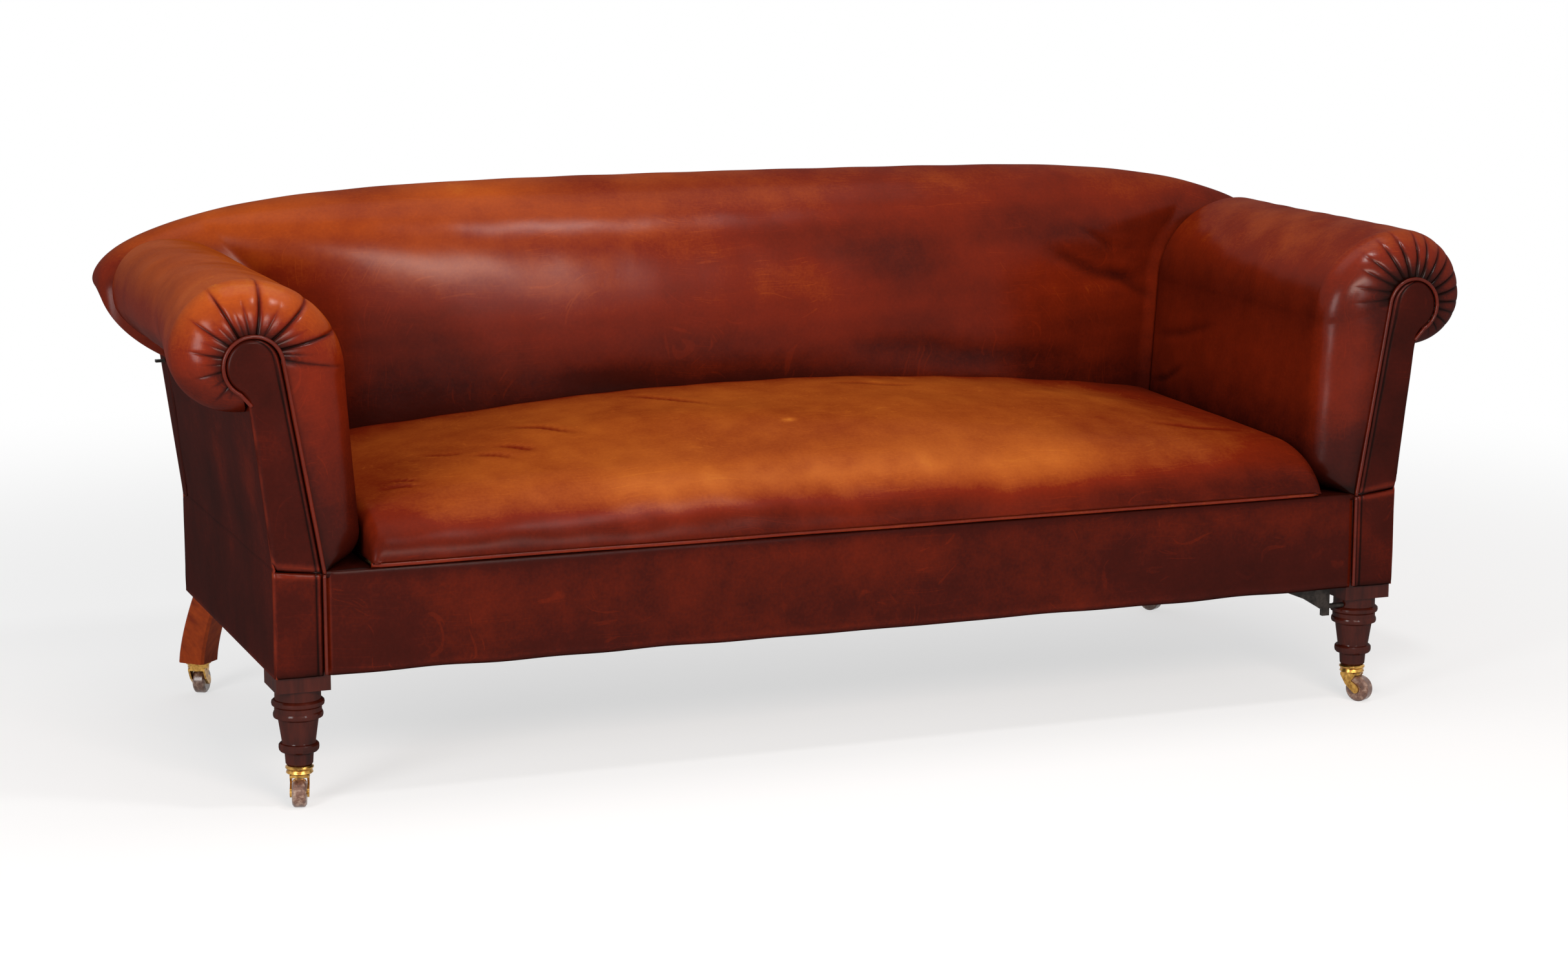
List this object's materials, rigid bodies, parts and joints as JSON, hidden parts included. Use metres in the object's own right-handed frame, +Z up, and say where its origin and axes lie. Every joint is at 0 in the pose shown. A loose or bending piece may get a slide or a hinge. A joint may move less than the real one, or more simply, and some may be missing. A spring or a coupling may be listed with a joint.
{
  "type": "drop-arm chesterfield sofa",
  "caption": "Smooth leather chesterfield sofa with rolled arms that fold outward, a crowned sprung seat, turned front legs, sabre rear legs and brass castors.",
  "frame": {"origin": "on the floor under the centre of the sofa's bounding box", "axes": "+X along the sofa to its right end as seen from the front, +Y from the front to the back, +Z up"},
  "size_m": [2.098, 0.802, 0.84],
  "materials": {
    "leather_roll": "gloss",
    "leather_seat": "gloss",
    "leather_panel": "gloss",
    "leather_trim": "gloss",
    "mahogany": "gloss",
    "frame_wood": "matte",
    "padding": "matte",
    "webbing": "matte",
    "black_cloth": "matte",
    "spring_steel": "satin",
    "pin_steel": "satin",
    "iron": "matte",
    "brass": "satin",
    "castor_ceramic": "gloss"
  },
  "bodies": {
    "frame": {"front_rail": "frame_wood", "back_rail": "frame_wood", "side_rail_left": "frame_wood", "side_rail_right": "frame_wood", "seat_stretchers": "frame_wood", "corner_blocks": "frame_wood", "front_leg_left": "mahogany", "front_leg_right": "mahogany", "rear_leg_left": "mahogany", "rear_leg_right": "mahogany", "back_posts": "frame_wood", "back_top_rail": "frame_wood", "back_stays": "frame_wood", "seat_webbing": "webbing", "seat_springs": "spring_steel", "seat_hessian": "webbing", "seat_stuffing": "padding", "seat_cover": "leather_seat", "seat_welt": "leather_trim", "front_border": "leather_panel", "post_facings": "leather_panel", "side_cover_left": "leather_panel", "side_cover_right": "leather_panel", "bottom_cloth": "black_cloth", "back_webbing": "webbing", "back_stuffing": "padding", "back_cover": "leather_roll", "outside_back_cover": "leather_panel", "back_end_covers": "leather_panel", "leg_bracket_right": "iron", "hinge_bases": "iron", "hinge_pins": "pin_steel", "castor_sockets": "brass"},
    "left_arm": {"arm_boards_left": "frame_wood", "arm_rails_left": "frame_wood", "arm_stuffing_left": "padding", "arm_cover_left": "leather_roll", "arm_end_covers_left": "leather_panel", "arm_piping_left": "leather_trim", "outside_arm_cover_left": "leather_panel", "hinge_leaves_left": "iron"},
    "right_arm": {"arm_boards_right": "frame_wood", "arm_rails_right": "frame_wood", "arm_stuffing_right": "padding", "arm_cover_right": "leather_roll", "arm_end_covers_right": "leather_panel", "arm_piping_right": "leather_trim", "outside_arm_cover_right": "leather_panel", "hinge_leaves_right": "iron"},
    "left_lever": {"release_lever_left": "iron"},
    "right_lever": {"release_lever_right": "iron"},
    "castor_fl": {"castor_fork_fl": "brass"},
    "wheel_fl": {"castor_wheel_fl": "castor_ceramic"},
    "castor_fr": {"castor_fork_fr": "brass"},
    "wheel_fr": {"castor_wheel_fr": "castor_ceramic"},
    "castor_rl": {"castor_fork_rl": "brass"},
    "wheel_rl": {"castor_wheel_rl": "castor_ceramic"},
    "castor_rr": {"castor_fork_rr": "brass"},
    "wheel_rr": {"castor_wheel_rr": "castor_ceramic"}
  },
  "joints": [
    {"name": "left_arm_drop", "type": "hinge", "parent": "frame", "child": "left_arm", "pos_m": [-0.912, -0.061, 0.361], "axis": [0, -1, 0], "range_deg": [0, 90]},
    {"name": "right_arm_drop", "type": "hinge", "parent": "frame", "child": "right_arm", "pos_m": [0.912, -0.061, 0.361], "axis": [0, 1, 0], "range_deg": [0, 90]},
    {"name": "left_lever_press", "type": "hinge", "parent": "frame", "child": "left_lever", "pos_m": [-0.9, 0.249, 0.575], "axis": [0, -1, 0], "range_deg": [0, 8], "stiffness_Nm_per_rad": 1.5, "springref_deg": -5.73},
    {"name": "right_lever_press", "type": "hinge", "parent": "frame", "child": "right_lever", "pos_m": [0.9, 0.249, 0.575], "axis": [0, 1, 0], "range_deg": [0, 8], "stiffness_Nm_per_rad": 1.5, "springref_deg": -5.73},
    {"name": "castor_fl_swivel", "type": "hinge", "parent": "frame", "child": "castor_fl", "pos_m": [-0.878, -0.341, 0.05], "axis": [0, 0, 1], "continuous": true},
    {"name": "castor_fr_swivel", "type": "hinge", "parent": "frame", "child": "castor_fr", "pos_m": [0.878, -0.341, 0.05], "axis": [0, 0, 1], "continuous": true},
    {"name": "castor_rl_swivel", "type": "hinge", "parent": "frame", "child": "castor_rl", "pos_m": [-0.884, 0.359, 0.05], "axis": [0, 0, 1], "continuous": true},
    {"name": "castor_rr_swivel", "type": "hinge", "parent": "frame", "child": "castor_rr", "pos_m": [0.884, 0.359, 0.05], "axis": [0, 0, 1], "continuous": true},
    {"name": "wheel_fl_roll", "type": "hinge", "parent": "castor_fl", "child": "wheel_fl", "pos_m": [-0.88214, -0.35542, 0.021], "axis": [0.9613, -0.2756, 0], "continuous": true},
    {"name": "wheel_fr_roll", "type": "hinge", "parent": "castor_fr", "child": "wheel_fr", "pos_m": [0.88504, -0.35424, 0.021], "axis": [0.8829, 0.4695, 0], "continuous": true},
    {"name": "wheel_rl_roll", "type": "hinge", "parent": "castor_rl", "child": "wheel_rl", "pos_m": [-0.87696, 0.37224, 0.021], "axis": [-0.8829, 0.4695, 0], "continuous": true},
    {"name": "wheel_rr_roll", "type": "hinge", "parent": "castor_rr", "child": "wheel_rr", "pos_m": [0.87696, 0.37224, 0.021], "axis": [-0.8829, -0.4695, 0], "continuous": true}
  ]
}
